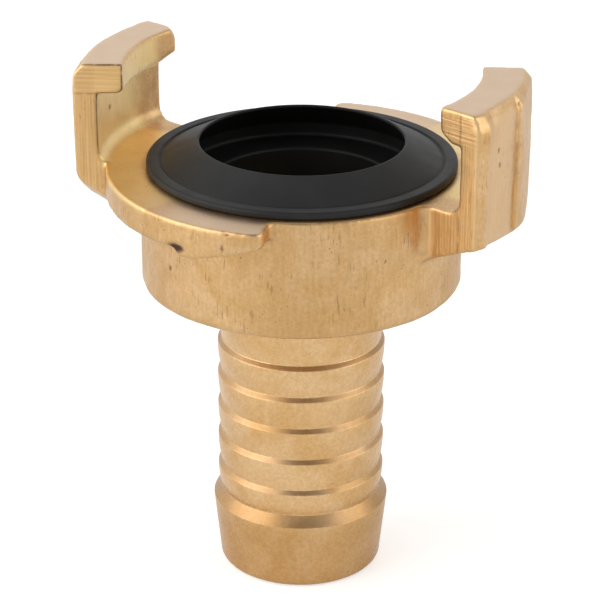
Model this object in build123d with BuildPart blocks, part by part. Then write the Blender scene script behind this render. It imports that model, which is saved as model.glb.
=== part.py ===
"""Quarter-turn claw coupling with a barbed hose tail, in millimetres.

The coupling stands on its hose tail.  The origin is the centre of the tail's
end face, +Z runs up the waterway to the claws, and +X points at the wing side
of the first claw.  The second claw and wing are the first pair turned half a
turn about Z, so a second coupling, turned over, locks onto this one: each
nose slides under the other coupling's wing, over its crest and into its seat.

Two pieces: the forged and turned brass body, and the moulded rubber seal.
"""
from build123d import *
import os
from math import atan2, cos, hypot, radians, sin

# Hose tail, turned, from its end face up to the hub
tail_length = 44.0
tail_bore_radius = 9.75
barb_radius = 11.85           # at each barb's lip, which faces the hub
barb_root_radius = 11.3
barb_bulge = 0.15             # how far a barb's flank swells out between lip and root
barb_count = 5
barb_pitch = 5.08
first_barb_drop = 8.7         # from the hub's underside to the first lip
ledge_height = 0.7            # hollow ledge above each lip
ledge_hollow = 0.25           # 0.5 is a straight cone, less is more hollow
collar_radius = 12.6
collar_height = 10.0          # end face to the top of the land
collar_land = 1.4             # straight stretch at the collar's full radius
collar_shoulder = 2.4         # height of the round shoulder above the land
shoulder_fullness = 0.3       # 0.5 is a straight cone, less is rounder
collar_toe_radius = 11.7
toe_round = 1.0
bore_chamfer = 0.2

# Hub, with the seal's recess and the funnel that leads down to the tail
hub_radius = 22.6
hub_height = 17.0
hub_bottom_round = 2.8
neck_fillet = 1.5
recess_wall = 3.0             # brass between the seal's recess and the hub's side
recess_depth = 8.2
funnel_radius = 14.0
funnel_straight = 3.0

# Claws: a wall that stands on the flange, with a nose turned in at its top
claw_count = 2
claw_span = 43.0              # degrees
nose_clearance = 2.2          # from the hub's side out to the nose
nose_depth = 3.6              # from the nose's inner face out to the wall
claw_wall = 3.4
claw_height = 14.4            # flange face to the claw's top
slot_height_wing_side = 10.2  # flange face to the nose, beside the wing
slot_height_free_side = 9.5   # the same at the claw's free end
slot_fillet = 2.0
claw_draft = 0.4              # the outer face leans in by this at its foot
foot_drop_free_side = 4.4     # flange face to the foot of the outer face
foot_drop_deepest = 6.4
deepest_turn = 12.0           # degrees from the wing side to the foot's deepest point
foot_drop_wing_side = 2.4
claw_root_drop = 8.1          # flange face to where the underside meets the hub, free side
wing_side_slope = 0.65        # fall of the underside per length inwards, beside the wing
foot_round = 1.8
claw_chamfer_width = 1.4
claw_chamfer_height = 1.6
relief_span = 21.0            # degrees of the outer face that are set back
relief_depth = 0.6
relief_chamfer_height = 2.1
claw_root_fillet = 1.5        # upright corner between the claw's free end and the hub

# Cam wings: the rim that the other coupling's noses run under
wing_span = 79.0              # degrees, from the claw
wing_clearance = 1.0          # from a wing's rim to the other coupling's claw wall
wing_seat_thickness = 4.1
wing_crest_thickness = 5.0
wing_tip_thickness = 2.2
seat_end = 50.0               # degrees from the claw
crest_start = 54.0
crest_end = 57.5              # where the ramp to the tip starts
wing_tip_round = 1.5
wing_root_fillet = 1.2

# Seal: a rubber ring whose foot sits in the recess, with a rim on the flange
seal_gap = 0.1
rim_inset = 0.85              # from the hub's side in to the rim
rim_thickness = 1.15
rim_round = 0.45
rim_width = 1.7
lip_radius = 14.3
lip_rise = 2.7                # rim to the lip's edge
lip_edge = 0.5                # thickness of the rubber at the lip's edge
seal_wall = 2.0
seal_bore_radius = 12.3
seal_floor_thickness = 6.1
groove_width = 0.6            # shallow groove at the cone's foot
groove_depth = 0.2

# Worked out from the above
flange_z = tail_length + hub_height
recess_z = flange_z - recess_depth
recess_radius = hub_radius - recess_wall
nose_inner_radius = hub_radius + nose_clearance
claw_inner_radius = nose_inner_radius + nose_depth
claw_outer_radius = claw_inner_radius + claw_wall
foot_radius = claw_outer_radius - claw_draft
wing_radius = claw_inner_radius - wing_clearance
root_overlap = 1.5            # how far claws and wings reach into the hub
root_radius = hub_radius - root_overlap
wing_root_lap = 2.0           # degrees that a wing runs into its claw
cutter_margin = 2.0           # how far cutting shapes reach past what they cut
relief_margin = 3.0           # the same in degrees
claw_low = foot_drop_deepest + claw_root_drop   # below all of the claw's underside
tolerance = 0.01


def radial_plane(azimuth):
    """Upright plane through the axis: local x runs outwards, local y up."""
    turn = radians(azimuth)
    return Plane(origin=(0, 0, 0), x_dir=(cos(turn), sin(turn), 0), z_dir=(sin(turn), -cos(turn), 0))


def tangent_plane(azimuth, distance):
    """Upright plane across a radius: local x runs clockwise, local y up."""
    turn = radians(azimuth)
    outwards = Vector(cos(turn), sin(turn), 0)
    return Plane(origin=outwards * distance, x_dir=(sin(turn), -cos(turn), 0), z_dir=-outwards)


def head_point(azimuth, radius, drop):
    """A point at this azimuth and radius, this far below the flange face."""
    return radial_plane(azimuth).from_local_coords(Vector(radius, flange_z - drop, 0))


def plane_through(first, second, third):
    """The plane through three points that run clockwise seen from above; its z axis points down."""
    return Plane(origin=first, z_dir=(second - first).cross(third - first))


def hub_corners(body, azimuth):
    """The upright edges on the hub's side, at this azimuth and half a turn on."""
    return [
        edge
        for edge in body.edges().filter_by(Axis.Z)
        if abs(hypot(edge.center().X, edge.center().Y) - hub_radius) < tolerance
        and abs(sin(atan2(edge.center().Y, edge.center().X) - radians(azimuth))) < tolerance
    ]


def foot_edges(body):
    """The edges where a claw's outer face meets its underside."""
    return [
        edge
        for edge in body.edges()
        if all(
            abs(hypot(corner.X, corner.Y) - foot_radius) < claw_draft and corner.Z < flange_z - tolerance
            for corner in (edge @ 0, edge @ 1)
        )
    ]


# The body's turned core: barbed tail, hub, seal recess and waterway
lip_heights = [tail_length - first_barb_drop - n * barb_pitch for n in range(barb_count)]
root_heights = [lip + ledge_height for lip in lip_heights]
shoulder_top = collar_height + collar_shoulder


def flank(top, bottom):
    """The swelling side of a barb, from its full radius down to its root."""
    middle = ((barb_radius + barb_root_radius) / 2 + barb_bulge, (top + bottom) / 2)
    return ThreePointArc((barb_radius, top), middle, (barb_root_radius, bottom))


def ledge(root, lip):
    """The hollow step from a root out to the next barb's lip."""
    depth = barb_radius - barb_root_radius
    corner = (barb_root_radius + ledge_hollow * depth, lip + ledge_hollow * (root - lip))
    return ThreePointArc((barb_root_radius, root), corner, (barb_radius, lip))


with BuildPart() as coupling_body:
    with BuildSketch(Plane.XZ):
        with BuildLine():
            Polyline(
                (collar_radius, collar_height),
                (collar_radius, collar_height - collar_land),
                (collar_toe_radius, 0),
                (tail_bore_radius + bore_chamfer, 0),
                (tail_bore_radius, bore_chamfer),
                (tail_bore_radius, tail_length),
                (funnel_radius, recess_z - funnel_straight),
                (funnel_radius, recess_z),
                (recess_radius, recess_z),
                (recess_radius, flange_z),
                (hub_radius, flange_z),
                (hub_radius, tail_length),
                (barb_radius, tail_length),
            )
            for top, root, lip in zip([tail_length] + lip_heights, root_heights, lip_heights):
                flank(top, root)
                ledge(root, lip)
            flank(lip_heights[-1], shoulder_top)
            shoulder_middle = (
                collar_radius - (collar_radius - barb_root_radius) * shoulder_fullness,
                collar_height + collar_shoulder * (1 - shoulder_fullness),
            )
            ThreePointArc((barb_root_radius, shoulder_top), shoulder_middle, (collar_radius, collar_height))
        make_face()
    revolve(axis=Axis.Z)

    # Soften the turned edges: tail toe, hub underside and the neck below it
    toe_edge = edges().filter_by(GeomType.CIRCLE).group_by(Axis.Z)[0].sort_by(SortBy.RADIUS)[-1]
    fillet(toe_edge, toe_round)
    underside_edges = edges().filter_by(GeomType.CIRCLE).filter_by_position(Axis.Z, tail_length, tail_length)
    fillet(underside_edges.sort_by(SortBy.RADIUS)[-1], hub_bottom_round)
    neck_edge = edges().filter_by(GeomType.CIRCLE).filter_by_position(Axis.Z, tail_length, tail_length)
    fillet([edge for edge in neck_edge if abs(edge.radius - barb_radius) < 0.01], neck_fillet)

# One claw: its full section turned through its span
with BuildPart() as claw:
    with BuildSketch(radial_plane(-claw_span)):
        with BuildLine():
            Polyline(
                (root_radius, flange_z),
                (nose_inner_radius, flange_z),
                (nose_inner_radius, flange_z + claw_height),
                (claw_outer_radius - claw_chamfer_width, flange_z + claw_height),
                (claw_outer_radius, flange_z + claw_height - claw_chamfer_height),
                (foot_radius, flange_z - claw_low),
                (root_radius, flange_z - claw_low),
                close=True,
            )
        make_face()
    revolve(axis=Axis.Z, revolution_arc=claw_span)

    # The underside: one plane along the claw, and a second one that lifts the corner beside the wing
    deepest_foot = head_point(-deepest_turn, foot_radius, foot_drop_deepest)
    wing_side_foot = head_point(0, foot_radius, foot_drop_wing_side)
    underside = plane_through(
        deepest_foot,
        head_point(-claw_span, foot_radius, foot_drop_free_side),
        head_point(-claw_span, hub_radius, claw_root_drop),
    )
    split(bisect_by=underside, keep=Keep.BOTTOM)
    lifted_corner = plane_through(
        deepest_foot,
        head_point(0, hub_radius, foot_drop_wing_side + wing_side_slope * (foot_radius - hub_radius)),
        wing_side_foot,
    )
    split(bisect_by=lifted_corner, keep=Keep.BOTTOM)
    fillet(foot_edges(claw), foot_round)

    # The outer face is set back along the claw's free side
    with BuildSketch(radial_plane(-claw_span - relief_margin)):
        with BuildLine():
            Polyline(
                (claw_outer_radius - claw_chamfer_width, flange_z + claw_height),
                (claw_outer_radius - relief_depth, flange_z + claw_height - relief_chamfer_height),
                (foot_radius - relief_depth, flange_z - claw_low),
                (claw_outer_radius + cutter_margin, flange_z - claw_low),
                (claw_outer_radius + cutter_margin, flange_z + claw_height),
                close=True,
            )
        make_face()
    revolve(axis=Axis.Z, revolution_arc=relief_span + relief_margin, mode=Mode.SUBTRACT)

# The slot between nose and flange, whose roof falls towards the free side
half_slot = claw_outer_radius * sin(radians(claw_span / 2))
roof_fall = (slot_height_wing_side - slot_height_free_side) / (2 * half_slot)
with BuildPart() as slot:
    with Locations((0, 0, flange_z)):
        Cylinder(claw_inner_radius, claw_height, align=(Align.CENTER, Align.CENTER, Align.MIN))
    fillet(slot.edges().group_by(Axis.Z)[0], slot_fillet)
    with BuildSketch(tangent_plane(-claw_span / 2, claw_outer_radius)):
        with BuildLine():
            reach = half_slot + cutter_margin
            Polyline(
                (-reach, flange_z),
                (reach, flange_z),
                (reach, flange_z + slot_height_free_side - cutter_margin * roof_fall),
                (-reach, flange_z + slot_height_wing_side + cutter_margin * roof_fall),
                close=True,
            )
        make_face()
    extrude(amount=claw_outer_radius, mode=Mode.INTERSECT)

# One cam wing: flat seat, step to the crest, then a ramp that thins to the tip
ramp_middle = (crest_end + wing_span) / 2
ramp_half = wing_radius * sin(radians(wing_span - ramp_middle))
seat_edge = wing_radius * sin(radians(ramp_middle - seat_end))
crest_edge = wing_radius * sin(radians(ramp_middle - crest_start))
ramp_slope = (wing_crest_thickness - wing_tip_thickness) / (2 * ramp_half)
with BuildPart() as wing:
    with BuildSketch(radial_plane(-wing_root_lap)):
        with Locations((root_radius, flange_z)):
            Rectangle(
                wing_radius - root_radius,
                wing_crest_thickness,
                align=(Align.MIN, Align.MAX),
            )
    revolve(axis=Axis.Z, revolution_arc=wing_span + wing_root_lap)
    with BuildSketch(tangent_plane(ramp_middle, wing_radius)):
        with BuildLine():
            Polyline(
                (wing_radius, flange_z),
                (wing_radius, flange_z - wing_seat_thickness),
                (seat_edge, flange_z - wing_seat_thickness),
                (crest_edge, flange_z - wing_crest_thickness),
                (ramp_half, flange_z - wing_crest_thickness),
                (-ramp_half - cutter_margin, flange_z - wing_tip_thickness + cutter_margin * ramp_slope),
                (-ramp_half - cutter_margin, flange_z),
                close=True,
            )
        make_face()
    extrude(amount=wing_radius, mode=Mode.INTERSECT)
    tip_edge = wing.edges().filter_by(Axis.Z).sort_by_distance(
        radial_plane(wing_span).from_local_coords(Vector(wing_radius, flange_z, 0))
    )[0]
    fillet(tip_edge, wing_tip_round)

with BuildPart() as head:
    add(claw.part)
    add(slot.part, mode=Mode.SUBTRACT)
    add(wing.part)

# The body: turned core with both heads, half a turn apart
with coupling_body:
    with PolarLocations(0, claw_count):
        add(head.part)
    fillet(hub_corners(coupling_body, wing_span), wing_root_fillet)
    fillet(hub_corners(coupling_body, -claw_span), claw_root_fillet)

# The seal: foot ring in the recess, rim on the flange, cone up to the lip
rim_radius = hub_radius - rim_inset
foot_outer_radius = recess_radius - seal_gap
cavity_radius = foot_outer_radius - seal_wall
rim_z = flange_z + rim_thickness
cone_radius = rim_radius - rim_width
lip_z = rim_z + lip_rise
with BuildPart() as seal_ring:
    with BuildSketch(Plane.XZ) as seal_section:
        with BuildLine():
            Polyline(
                (foot_outer_radius, recess_z),
                (foot_outer_radius, flange_z),
                (rim_radius, flange_z),
                (rim_radius, rim_z),
                (cone_radius, rim_z),
                (cone_radius - groove_width / 2, rim_z - groove_depth),
                (cone_radius - groove_width, rim_z),
                (lip_radius, lip_z),
                (lip_radius, lip_z - lip_edge),
                (cavity_radius, flange_z),
                (cavity_radius, recess_z + seal_floor_thickness),
                (seal_bore_radius, recess_z + seal_floor_thickness),
                (seal_bore_radius, recess_z),
                close=True,
            )
        make_face()
        rim_corners = [
            corner
            for corner in seal_section.vertices()
            if abs(corner.X - rim_radius) < 0.01
        ]
        fillet(rim_corners, rim_round)
    revolve(axis=Axis.Z)

os.makedirs("parts", exist_ok=True)
coupling_body.part.label = "coupling_body"
export_step(coupling_body.part, "parts/coupling_body.step")
seal_ring.part.label = "seal_ring"
export_step(seal_ring.part, "parts/seal_ring.step")
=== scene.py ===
"""Looks for a quarter-turn claw coupling: forged and turned brass body, moulded rubber seal.

Everything is in metres, in the frame of the packed model: the origin is the centre of the hose
tail's end face and +Z runs up the waterway.  Sizes that belong to a piece are written in
millimetres beside its code and turned into metres by MM.
"""
from math import cos, pi, radians, sin

import bmesh
import bpy
import numpy as np
from bpy.props import FloatProperty, FloatVectorProperty, IntProperty, PointerProperty
from mathutils import Euler, Matrix, Vector, noise


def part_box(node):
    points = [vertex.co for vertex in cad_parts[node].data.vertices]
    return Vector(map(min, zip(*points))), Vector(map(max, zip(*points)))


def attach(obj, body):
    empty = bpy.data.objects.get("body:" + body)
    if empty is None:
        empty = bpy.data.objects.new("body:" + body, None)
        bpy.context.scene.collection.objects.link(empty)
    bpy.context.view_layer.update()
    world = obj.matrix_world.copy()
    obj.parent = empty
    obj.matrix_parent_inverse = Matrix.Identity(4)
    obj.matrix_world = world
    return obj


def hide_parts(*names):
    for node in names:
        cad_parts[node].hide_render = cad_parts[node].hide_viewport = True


bl_info = {
    "name": "Claw Coupling",
    "version": (1, 0, 0),
    "blender": (4, 5, 0),
    "location": "View3D > Sidebar > Coupling",
    "description": "Builds a quarter-turn claw coupling with a barbed hose tail",
    "category": "Object",
}

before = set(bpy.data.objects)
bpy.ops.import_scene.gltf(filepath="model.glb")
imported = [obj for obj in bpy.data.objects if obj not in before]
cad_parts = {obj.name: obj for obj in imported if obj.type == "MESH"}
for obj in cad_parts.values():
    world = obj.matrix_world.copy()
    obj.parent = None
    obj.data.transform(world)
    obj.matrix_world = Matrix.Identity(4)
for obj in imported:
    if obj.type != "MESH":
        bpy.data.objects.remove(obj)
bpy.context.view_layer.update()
BODY_LOW, BODY_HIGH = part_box("coupling_body")
SEAL_LOW, SEAL_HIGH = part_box("seal_ring")

MM = 0.001
HUB_RADIUS = 22.6 * MM
NOSE_RADIUS = 24.8 * MM  # inner face of the claws' noses
WALL_RADIUS = 28.4 * MM  # inner face of the claws' walls
CLAW_RADIUS = 31.8 * MM  # outer face of the claws
CLAW_SPAN = 43.0  # degrees from a claw's wing side to its free end
FLANGE_Z = BODY_HIGH.z - 14.4 * MM
HUB_BOTTOM = BODY_HIGH.z - 31.4 * MM
TAIL_SEGMENTS = 180
SEAL_SEGMENTS = 220


# ---------------------------------------------------------------- settings


class HeadSettings(bpy.types.PropertyGroup):
    """The forged head of the body: hub, claws and cam wings."""

    grain: FloatProperty(
        name="Mesh grain",
        description="Share of the remesh grid that the head fills; more gives a finer mesh",
        default=0.70,
        min=0.3,
        max=0.9,
        subtype="FACTOR",
    )
    softness: IntProperty(
        name="Edge softness",
        description="Smoothing passes that round the trimmed edges of the forging",
        default=4,
        min=0,
        max=20,
    )
    unevenness: FloatProperty(
        name="Unevenness",
        description="Height of the slow waves that forging leaves in the skin",
        default=0.09 * MM,
        min=0.0,
        unit="LENGTH",
    )
    hub_corner: FloatProperty(
        name="Hub corner",
        description="Round of the hub's lower corner",
        default=1.0 * MM,
        min=0.0,
        unit="LENGTH",
    )
    join_height: FloatProperty(
        name="Join height",
        description="Where the forged head runs into the turned tail, above the tail's end",
        default=42.0 * MM,
        unit="LENGTH",
    )


class TailSettings(bpy.types.PropertyGroup):
    """The turned hose tail."""

    barb_count: IntProperty(name="Barbs", description="Number of barbs on the tail", default=5, min=2)
    barb_pitch: FloatProperty(
        name="Barb pitch",
        description="Height from one barb's lip to the next",
        default=4.88 * MM,
        unit="LENGTH",
    )
    first_lip: FloatProperty(
        name="First lip", description="Height of the highest barb's lip", default=34.55 * MM, unit="LENGTH"
    )
    lip_radius: FloatProperty(
        name="Lip radius", description="Radius over the barbs' lips", default=12.0 * MM, unit="LENGTH"
    )
    root_radius: FloatProperty(
        name="Root radius", description="Radius between the barbs", default=11.5 * MM, unit="LENGTH"
    )
    bulge: FloatProperty(
        name="Bulge", description="How far a barb's flank swells out", default=0.15 * MM, unit="LENGTH"
    )
    ledge_height: FloatProperty(
        name="Ledge height",
        description="Height of the sloping ledge above a lip",
        default=0.62 * MM,
        unit="LENGTH",
    )
    collar_radius: FloatProperty(
        name="Collar radius",
        description="Radius over the collar's shoulder",
        default=12.7 * MM,
        unit="LENGTH",
    )
    toe_radius: FloatProperty(
        name="Toe radius",
        description="Radius of the collar where it meets the toe",
        default=11.6 * MM,
        unit="LENGTH",
    )
    bore_radius: FloatProperty(
        name="Bore radius", description="Radius of the waterway in the tail", default=9.75 * MM, unit="LENGTH"
    )


class SealSettings(bpy.types.PropertyGroup):
    """The moulded rubber seal."""

    rim_radius: FloatProperty(
        name="Rim radius", description="Outer radius of the rim", default=SEAL_HIGH.x, unit="LENGTH"
    )
    rim_thickness: FloatProperty(
        name="Rim thickness",
        description="Thickness of the rim on the flange",
        default=1.15 * MM,
        unit="LENGTH",
    )
    lip_height: FloatProperty(
        name="Lip height",
        description="Top of the sealing lip above the tail's end",
        default=SEAL_HIGH.z,
        unit="LENGTH",
    )
    lip_radius: FloatProperty(
        name="Lip radius", description="Radius of the opening at the lip", default=14.3 * MM, unit="LENGTH"
    )


class FinishSettings(bpy.types.PropertyGroup):
    """Colours of the materials."""

    brass: FloatVectorProperty(
        name="Brass",
        description="Colour of the blasted forging",
        default=(0.72, 0.455, 0.200),
        subtype="COLOR",
        min=0.0,
        max=1.0,
    )
    cut_brass: FloatVectorProperty(
        name="Cut brass",
        description="Colour of the faces that were cut after forging",
        default=(0.70, 0.51, 0.34),
        subtype="COLOR",
        min=0.0,
        max=1.0,
    )
    # The tarnish colour also paints the shade on the tail's ledges
    tarnish: FloatVectorProperty(
        name="Tarnish",
        description="Colour of the brown film in corners and pits",
        default=(0.20, 0.085, 0.03),
        subtype="COLOR",
        min=0.0,
        max=1.0,
    )
    rubber: FloatVectorProperty(
        name="Rubber",
        description="Colour of the seal",
        default=(0.0098, 0.0098, 0.0100),
        subtype="COLOR",
        min=0.0,
        max=1.0,
    )


class StageSettings(bpy.types.PropertyGroup):
    """Camera and light."""

    distance: FloatProperty(
        name="Camera distance",
        description="From the camera to the point it looks at",
        default=0.3714,
        unit="LENGTH",
    )
    elevation: FloatProperty(
        name="Camera elevation",
        description="Angle that the camera looks down by",
        default=radians(23.5),
        subtype="ANGLE",
    )
    lean: FloatProperty(
        name="Camera lean",
        description="Roll of the camera about its view line",
        default=radians(0.27),
        subtype="ANGLE",
    )
    focal_length: FloatProperty(
        name="Focal length", description="Lens of the camera in millimetres", default=154.7, min=10.0
    )


SETTINGS = {
    "coupling_head": HeadSettings,
    "coupling_tail": TailSettings,
    "coupling_seal": SealSettings,
    "coupling_finish": FinishSettings,
    "coupling_stage": StageSettings,
}


# ---------------------------------------------------------------- node helpers


def add_node(tree, kind, inputs=None, **settings):
    """A node of that kind, with its settings and its inputs: values or sockets to link."""
    node = tree.nodes.new(kind)
    for name, value in settings.items():
        setattr(node, name, value)
    for name, value in (inputs or {}).items():
        socket = node.inputs[name]
        if isinstance(value, bpy.types.NodeSocket):
            tree.links.new(value, socket)
        else:
            socket.default_value = value
    return node


def math(tree, operation, *values):
    """One math node on values or sockets; gives its result socket."""
    node = add_node(tree, "ShaderNodeMath", dict(enumerate(values)), operation=operation)
    return node.outputs[0]


def product(tree, *values):
    """All the values multiplied together."""
    result = values[0]
    for value in values[1:]:
        result = math(tree, "MULTIPLY", result, value)
    return result


def opposite(tree, value):
    """What is left of 1 when the value is taken off."""
    return math(tree, "SUBTRACT", 1.0, value)


def ramp(tree, value, low, high):
    """0 below low, 1 above high, smooth between."""
    node = add_node(
        tree,
        "ShaderNodeMapRange",
        {"Value": value, "From Min": low, "From Max": high},
        interpolation_type="SMOOTHSTEP",
    )
    return node.outputs["Result"]


def blend_colour(tree, factor, first, second, blend_type="MIX"):
    """Mixes two colours, given as sockets or as (r, g, b)."""
    node = add_node(tree, "ShaderNodeMix", data_type="RGBA", blend_type=blend_type)
    for socket, value in zip((node.inputs[0], node.inputs[6], node.inputs[7]), (factor, first, second)):
        if isinstance(value, bpy.types.NodeSocket):
            tree.links.new(value, socket)
        elif isinstance(value, float):
            socket.default_value = value
        else:
            socket.default_value = (*value, 1.0)
    return node.outputs[2]


def tinted(tree, share, colour, tint):
    """The colour multiplied by a tint, as far as share says."""
    return blend_colour(tree, share, colour, blend_colour(tree, 1.0, colour, tint, "MULTIPLY"))


def scaled(colour, *factors):
    """The colour with red, green and blue multiplied, up to 1."""
    return tuple(min(1.0, part * factor) for part, factor in zip(colour, factors))


def grain(tree, place, size, detail=3.0, roughness=0.5, stretch=(1.0, 1.0, 1.0), distortion=0.0):
    """Noise whose blotches are about size millimetres across; stretch lengthens them along an axis."""
    scale = [1000.0 / (size * s) for s in stretch]
    mapping = add_node(tree, "ShaderNodeMapping", {"Vector": place, "Scale": scale})
    node = add_node(
        tree,
        "ShaderNodeTexNoise",
        {
            "Vector": mapping.outputs[0],
            "Scale": 1.0,
            "Detail": detail,
            "Roughness": roughness,
            "Distortion": distortion,
        },
    )
    return node.outputs["Fac"]


def attribute(tree, name):
    """A mask that the mesh carries."""
    return add_node(tree, "ShaderNodeAttribute", attribute_name=name).outputs["Fac"]


def new_material(name, **shader_inputs):
    """A material with one Principled BSDF; gives the material, its tree and the shader node."""
    material = bpy.data.materials.new(name)
    material.use_nodes = True
    tree = material.node_tree
    shader = tree.nodes["Principled BSDF"]
    for key, value in shader_inputs.items():
        shader.inputs[key.replace("_", " ")].default_value = value
    return material, tree, shader


# ---------------------------------------------------------------- materials


def near(tree, value, centre, width):
    """1 where the value is within about width of the centre, 0 beyond."""
    distance = math(tree, "ABSOLUTE", math(tree, "SUBTRACT", value, centre))
    return opposite(tree, ramp(tree, distance, 0.4 * width, 1.3 * width))


def seam_lines(tree, axes, radius):
    """Dirt in the sharp corners round the claws' end faces."""
    x, y, z = axes
    wing_end = near(tree, y, 0.0, 0.40 * MM)
    turn = radians(CLAW_SPAN)
    tilted = math(tree, "ADD", product(tree, x, sin(turn)), product(tree, y, cos(turn)))
    free_end = near(tree, tilted, 0.0, 0.40 * MM)
    nose_low = BODY_HIGH.z - 4.2 * MM
    below_nose = math(tree, "LESS_THAN", z, nose_low + 0.2 * MM)
    above_nose = math(tree, "GREATER_THAN", z, nose_low - 0.2 * MM)
    on_nose = math(tree, "LESS_THAN", radius, 28.6 * MM)
    on_claw = math(tree, "GREATER_THAN", radius, 24.4 * MM)
    on_wall = ramp(tree, radius, WALL_RADIUS - 0.4 * MM, WALL_RADIUS)
    above_floor = ramp(tree, z, FLANGE_Z, FLANGE_Z + 2 * MM)
    above_foot = ramp(tree, z, FLANGE_Z - 7 * MM, FLANGE_Z - 5 * MM)
    lines = (
        product(tree, wing_end, near(tree, radius, WALL_RADIUS, 0.22 * MM), below_nose, above_floor),
        product(tree, wing_end, near(tree, z, nose_low, 0.20 * MM), on_nose, on_claw),
        product(tree, wing_end, near(tree, radius, NOSE_RADIUS + 0.05 * MM, 0.22 * MM), above_nose),
        product(tree, wing_end, near(tree, z, BODY_HIGH.z, 0.22 * MM), on_claw),
        product(tree, free_end, near(tree, radius, WALL_RADIUS, 0.20 * MM), above_foot, 0.6),
        product(tree, wing_end, near(tree, z, nose_low, 0.18 * MM), on_wall, 0.3),
    )
    seams = lines[0]
    for line in lines[1:]:
        seams = math(tree, "MAXIMUM", seams, line)
    return seams


def brass_material():
    """Pale satin brass: blasted forging, cut faces and the turned tail, told apart by masks."""
    finish = bpy.context.scene.coupling_finish
    material, tree, shader = new_material("satin_brass", Metallic=1.0, Coat_Weight=0.5, Coat_Roughness=0.45)
    place = add_node(tree, "ShaderNodeTexCoord").outputs["Object"]
    axes = add_node(tree, "ShaderNodeSeparateXYZ", {0: place}).outputs
    flat = add_node(tree, "ShaderNodeCombineXYZ", {0: axes[0], 1: axes[1]}).outputs[0]
    radius = add_node(tree, "ShaderNodeVectorMath", {0: flat}, operation="LENGTH").outputs["Value"]
    names = ("cut", "brushed", "turned", "hollow", "ridge", "stain", "inner")
    cut, brushed, turned, hollow, ridge, stain, inner = [attribute(tree, name) for name in names]
    rough_skin = opposite(tree, math(tree, "MAXIMUM", cut, turned))
    forged = math(tree, "MAXIMUM", math(tree, "SUBTRACT", rough_skin, brushed), 0.0)

    # Colour: slow drift and fine mottling of the skin
    drift = ramp(tree, grain(tree, place, 9.0, detail=5.0, roughness=0.6, distortion=0.8), 0.35, 0.68)
    mottle = ramp(tree, grain(tree, place, 0.55, detail=5.0, roughness=0.70), 0.30, 0.72)
    streaks = ramp(tree, grain(tree, place, 0.45, detail=3.0, stretch=(1.0, 1.0, 9.0)), 0.35, 0.70)
    base = tuple(finish.brass)
    colour = blend_colour(tree, drift, scaled(base, 0.94, 0.90, 0.80), scaled(base, 1.06, 1.11, 1.28))
    speckle = blend_colour(tree, mottle, (0.91, 0.89, 0.86), (1.08, 1.09, 1.10))
    colour = blend_colour(tree, 1.0, colour, speckle, "MULTIPLY")
    streaked = blend_colour(tree, streaks, (0.95, 0.935, 0.90), (1.03, 1.03, 1.04))
    colour = tinted(tree, forged, colour, streaked)

    # Cut tops, painted bounce light (a brighter, deeper gold) inside the claws, the brushed ends and the pale
    # relief
    colour = blend_colour(tree, product(tree, cut, 0.85), colour, tuple(finish.cut_brass))
    colour = blend_colour(tree, product(tree, inner, 0.75), colour, scaled(base, 1.34, 1.60, 1.60))
    colour = blend_colour(tree, product(tree, brushed, 0.7), colour, scaled(base, 1.05, 1.03, 0.97))
    level_lines = grain(tree, place, 0.30, detail=3.0, stretch=(40.0, 40.0, 1.0))
    rings = add_node(tree, "ShaderNodeCombineXYZ", {0: radius, 2: axes[2]}).outputs[0]
    upright_lines = grain(tree, rings, 0.30, detail=3.0, stretch=(1.0, 1.0, 40.0))
    nose_end = ramp(tree, axes[2], BODY_HIGH.z - 4.5 * MM, BODY_HIGH.z - 4.2 * MM)
    brush = blend_colour(tree, nose_end, upright_lines, level_lines)
    lined = blend_colour(tree, ramp(tree, brush, 0.30, 0.66), (0.87, 0.83, 0.77), (1.10, 1.11, 1.12))
    colour = tinted(tree, brushed, colour, lined)
    relief = product(tree, attribute(tree, "relief"), 0.6)
    colour = blend_colour(tree, relief, colour, scaled(base, 1.12, 1.22, 1.55))

    # The turned tail is paler, and darker towards its end as painted shade
    colour = tinted(tree, turned, colour, (1.13, 1.14, 1.16))
    painted_end_shade = opposite(tree, ramp(tree, axes[2], 7.0 * MM, 14.0 * MM))
    colour = tinted(tree, painted_end_shade, colour, (0.81, 0.76, 0.66))

    # Dark marks: pores in clusters, drag marks, film in the corners, seams and casting marks, and painted
    # shade on the tail's ledges
    clusters = ramp(tree, grain(tree, place, 5.5, detail=2.0), 0.50, 0.66)
    pores = ramp(tree, grain(tree, place, 0.55, detail=2.5, roughness=0.5), 0.62, 0.72)
    pores = product(tree, pores, clusters, forged, opposite(tree, inner))
    drags = ramp(tree, grain(tree, place, 0.34, detail=1.5, stretch=(1.0, 1.0, 6.0)), 0.61, 0.70)
    drags = product(tree, drags, ramp(tree, grain(tree, place, 4.0, detail=2.0), 0.45, 0.62), rough_skin)
    film = ramp(tree, grain(tree, place, 2.2, detail=4.0, roughness=0.6), 0.36, 0.72)
    film = product(tree, film, hollow, 0.6)
    broken = ramp(tree, grain(tree, place, 0.9, detail=3.0), 0.30, 0.55)
    seams = product(tree, seam_lines(tree, axes, radius), broken, 0.78)
    dark = math(tree, "MAXIMUM", product(tree, pores, 0.65), product(tree, drags, 0.36))
    # Painted shade on the barbs' upward ledges, for the dark they reflect; deeper on the first ledge
    first_ledge = ramp(tree, axes[2], 31.0 * MM, 33.0 * MM)
    ledge_painted_shade = math(tree, "ADD", 0.48, product(tree, first_ledge, 0.12))
    ledge_painted_shade = product(tree, ledge_painted_shade, attribute(tree, "ledge"))
    for value in (film, seams, ledge_painted_shade, product(tree, stain, 0.9)):
        dark = math(tree, "MAXIMUM", dark, value)
    colour = blend_colour(tree, dark, colour, tuple(finish.tarnish))
    soot = scaled(finish.tarnish, 0.35, 0.35, 0.35)
    colour = blend_colour(tree, product(tree, stain, stain), colour, soot)
    colour = blend_colour(tree, product(tree, ridge, 0.35), colour, scaled(base, 1.18, 1.30, 1.50))
    tree.links.new(colour, shader.inputs["Base Color"])

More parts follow.
